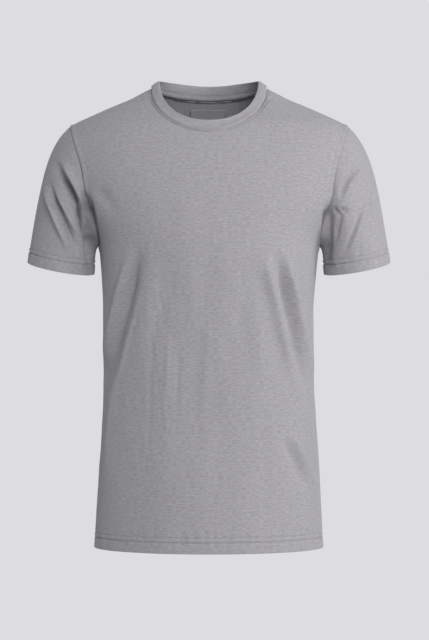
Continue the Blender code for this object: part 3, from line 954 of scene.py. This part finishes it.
# one-by-one rib in the same yarn, whose slubs lie along the band
ribKnit = makeJersey("ribKnit", {**jersey, "slub": (14, 1.6), "sheen": 0.25})
ribPiece = toPiece("neckRib", band, ribKnit, ["neck_rib"])

neckTape = {
    "above": 3.4,  # how far it reaches each side of the back neck seam
    "below": 4.2,
    "reach": 0.8,  # share of the back neck that it covers
    "thickness": 0.7,
    "lift": 0.5,
    "bandFoot": 1,  # how far below the seam its side on the band ends
    "backTop": 0.6,  # and its side on the back starts
    "bend": (-0.4, 2.2),
    "columns": 150,
    "rows": 12,
}
print("laying the back neck tape and the label")


def backSurface(across, drop, inward):
    # a place inside the back, this far in from the outer face
    hit, normal, _, _ = surface.find_nearest(bodyPoint(back, across, drop))
    if normal.y < 0:
        normal = -normal
    return hit - normal * inward * mm


def tapePlace(turn, offset):
    # offset runs up onto the band, or down onto the back
    column = ribColumn(1 - turn / (2 * math.pi))
    onBand = column[0] + column[2] * max(-offset, -neckTape["bandFoot"]) * mm
    onBand -= column[3] * (neckRib["thickness"] + neckTape["lift"]) * mm
    across, drop = neckline(back, turn)
    inward = bodyCut["wall"] + neckTape["lift"]
    onBack = backSurface(across, drop + max(offset, neckTape["backTop"]), inward)
    return onBand.lerp(onBack, smoothStep(*neckTape["bend"], offset))


tape = bmesh.new()
tape.faces.layers.int.new("piece")
tape.loops.layers.uv.new("cut")
tapeRows, tapeSizes = [], []
for row in range(neckTape["rows"] + 1):
    offset = -neckTape["above"] + (neckTape["above"] + neckTape["below"]) * row / neckTape["rows"]
    line = []
    for i in range(neckTape["columns"] + 1):
        turn = math.pi * (0.5 + neckTape["reach"] * (i / neckTape["columns"] - 0.5))
        line.append(tapePlace(turn, offset))
    tapeRows.append(line)
tapeSizes = flatSizes(tapeRows)
layGrid(tape, 0, tapeRows, tapeSizes, Vector((0, 0.5, -0.02)))
# the same jersey, a shade paler than the body's: painted light, to lift the tape out of the shade it sits
# in under the band
tapeKnitPaintedLight = makeJersey("tapeJerseyPaintedLight", {**jersey, "colour": "#a9a7ab"})
tapePiece = toPiece("neckTape", tape, tapeKnitPaintedLight, ["neck_tape"], -neckTape["thickness"])

innerLabel = {
    "width": 60,
    "height": 40,
    "drop": 25,
    "thickness": 0.5,
    "lift": 0.5,
    "edgeLift": 2.6,  # its unsewn edges stand off the cloth
    "footShare": 0.6,  # the lower edge less than the sides
    "columns": 48,
    "rows": 32,
}
label = bmesh.new()
label.faces.layers.int.new("piece")
label.loops.layers.uv.new("cut")
labelRows = []
for row in range(innerLabel["rows"] + 1):
    line = []
    for i in range(innerLabel["columns"] + 1):
        share = 2 * i / innerLabel["columns"] - 1
        down = row / innerLabel["rows"]
        curl = abs(share) ** 8 + innerLabel["footShare"] * down ** 8
        lift = innerLabel["lift"] + innerLabel["edgeLift"] * curl
        drop = innerLabel["drop"] + innerLabel["height"] * down
        line.append(backSurface(share * innerLabel["width"] / 2, drop, bodyCut["wall"] + lift))
    labelRows.append(line)
layGrid(label, 0, labelRows, flatSizes(labelRows), Vector((0, 0.5, -0.05)))
# a smooth, tightly woven tape with nothing on it
wovenLabel, _ = newMaterial("wovenLabel", {
    "Base Color": linear("#a09ea2"), "Roughness": 0.7, "Specular IOR Level": 0.3, "Sheen Weight": 0.1})
labelPiece = toPiece("innerLabel", label, wovenLabel, ["label"], -innerLabel["thickness"])


print("sewing the stitches")
stitching = {
    "hemPitch": 3.1,
    "neckPitch": 2.9,
    "tapePitch": 3.4,
    "gap": 0.25,  # share of the pitch that dips into the cloth
    "width": 0.55,  # really 0.3 mm, drawn coarser so that it shows
    "height": 0.35,
    "sit": 0.08,
    "neckSteps": 160,
    "aside": 0.01,  # the turn to each side that gives the neckline's direction
    "outside": 4,  # where the body's lean is measured, out from the neckline
    "inset": 1,  # from the tape's edges
}


def sewLine(stitches, path, pitch, closed=False):
    # path holds places and the way up at each; one flattened bead of thread to each stitch
    points = [place for place, _ in path]
    lengths = lengthsAlong(points)
    count = max(1, round(lengths[-1] / (pitch * mm)))
    for i in range(count):
        want = lengths[-1] * (i + 0.5) / count
        j = min(max(bisect_right(lengths, want) - 1, 0), len(points) - 2)
        t = (want - lengths[j]) / max(lengths[j + 1] - lengths[j], 1e-9)
        place = points[j].lerp(points[j + 1], t)
        up = path[j][1].lerp(path[j + 1][1], t).normalized()
        along = (points[j + 1] - points[j]).normalized()
        across = up.cross(along).normalized()
        along = across.cross(up)
        half = lengths[-1] / count * (1 - stitching["gap"]) / 2
        turn = Matrix((along, across, up)).transposed().to_4x4()
        size = Matrix.Diagonal((half, stitching["width"] / 2 * mm, stitching["height"] / 2 * mm, 1))
        bmesh.ops.create_icosphere(stitches, subdivisions=1, radius=1, matrix=Matrix.Translation(
            place + up * stitching["sit"] * mm) @ turn @ size)


def hemPath(name, height):
    # along the row of cloth nearest this height above the edge
    row = min(range(len(hemHeights)), key=lambda i: abs(hemHeights[i] - height))
    return [(vert.co.copy(), normals[vert]) for vert in grids[name][row]]


def neckPath(face):
    path = []
    count = stitching["neckSteps"]
    for i in range(count + 1):
        turn = math.pi * i / count
        here = bodyPoint(face, *neckline(face, turn))
        after = bodyPoint(face, *neckline(face, min(turn + stitching["aside"], math.pi)))
        before = bodyPoint(face, *neckline(face, max(turn - stitching["aside"], 0)))
        beside = here + Vector((here.x, here.y, -0.06)).normalized() * stitching["outside"] * mm
        _, normal, _, _ = surface.find_nearest(beside)
        way = normal.cross(after - before).normalized()
        if way.dot(Vector((here.x, here.y, -0.03))) < 0:
            way.negate()
        place, normal, _, _ = surface.find_nearest(here + way * seams["topstitchIn"] * mm)
        path.append((place, normal))
    return path


def tapePath(offset):
    path = []
    for i in range(neckTape["columns"] + 1):
        turn = math.pi * (0.5 + neckTape["reach"] * (i / neckTape["columns"] - 0.5))
        inward = -ribColumn(1 - turn / (2 * math.pi))[3]
        path.append((tapePlace(turn, offset) + inward * neckTape["thickness"] * mm, inward))
    return path


# spun polyester sewing thread, matt, a shade darker than the cloth: partly the thread's own tone, partly
# painted shade for the dark needle lines
matteThread, _ = newMaterial("polyesterThread", {
    "Base Color": linear("#8d8b8e"), "Roughness": 0.6, "Specular IOR Level": 0.4, "Sheen Weight": 0.1})
stitchLines = {
    "neckStitches": ([neckPath(front), neckPath(back)], stitching["neckPitch"]),
    "tapeStitches": ([tapePath(stitching["inset"] - neckTape["above"]),
                      tapePath(neckTape["below"] - stitching["inset"])], stitching["tapePitch"]),
    "hemStitches": ([hemPath(name, hems[line]) for name in ("frontPanel", "backPanel")
                     for line in ("lowerStitch", "upperStitch")], stitching["hemPitch"]),
    "cuffStitches": ([hemPath(name, hems[line]) for name in ("sleeveLeft", "sleeveRight")
                      for line in ("lowerStitch", "upperStitch")], stitching["hemPitch"]),
}
for name, (paths, pitch) in stitchLines.items():
    stitches = bmesh.new()
    for path in paths:
        sewLine(stitches, path, pitch)
    toPiece(name, stitches, matteThread, [])

print("setting the studio")
floorPlan = {"halfSize": (6, 5, 1), "middle": (0, -2, -1.45)}
floor = bmesh.new()
bmesh.ops.create_grid(floor, x_segments=1, y_segments=1, size=1)
bmesh.ops.scale(floor, vec=floorPlan["halfSize"], verts=floor.verts)
bmesh.ops.translate(floor, vec=floorPlan["middle"], verts=floor.verts)
floorMesh = bpy.data.meshes.new("floor")
floor.to_mesh(floorMesh)
# pale matt paint, kept plain
floorPaint, _ = newMaterial("mattPaintedFloor", {"Base Color": linear("#dcdcdd"), "Roughness": 0.9})
floorMesh.materials.append(floorPaint)
floorPiece = bpy.data.objects.new("floor", floorMesh)
bpy.context.collection.objects.link(floorPiece)

camera = {"place": (0.0085, -3.5, -0.3596), "lens": 127, "sensor": 36}
cameraData = bpy.data.cameras.new("camera")
cameraData.sensor_width = camera["sensor"]
cameraData.lens = camera["lens"]
cameraObject = bpy.data.objects.new("camera", cameraData)
cameraObject.location = camera["place"]
cameraObject.rotation_euler = (math.radians(90), 0, 0)
bpy.context.collection.objects.link(cameraObject)
bpy.context.scene.camera = cameraObject

studio = {
    "backdrop": "#dddddf",  # what shows behind, a plain pale paper
    "ambient": 0.42,
    "aim": (0, 0, -0.35),
    # right and left are the camera's: place, width and height, watts
    "keyRight": ((2.9, -0.9, 0.6), (1.2, 2.0), 44),
    "fillFront": ((0.8, -3.2, 1.1), (1.5, 1.1), 66),
    "rimLeft": ((-2.4, 0.3, 0.2), (0.8, 1.6), 3),
}
world = bpy.data.worlds.new("studio")
world.use_nodes = True
background = world.node_tree.nodes["Background"]
background.inputs["Color"].default_value = linear(studio["backdrop"])
seen = addNode(world, "ShaderNodeLightPath", {})
level = addNode(world, "ShaderNodeMapRange", {
    "Value": seen.outputs["Is Camera Ray"], "To Min": studio["ambient"], "To Max": 1.0})
world.node_tree.links.new(level.outputs["Result"], background.inputs["Strength"])
bpy.context.scene.world = world
bpy.context.scene.view_settings.view_transform = "Standard"


def addLight(name, place, size, watts):
    data = bpy.data.lights.new(name, "AREA")
    data.shape = "RECTANGLE"
    data.size, data.size_y = size
    data.energy = watts
    light = bpy.data.objects.new(name, data)
    light.location = place
    way = Vector(studio["aim"]) - Vector(place)
    light.rotation_euler = way.to_track_quat("-Z", "Y").to_euler()
    bpy.context.collection.objects.link(light)


for name in ("keyRight", "fillFront", "rimLeft"):
    addLight(name, *studio[name])
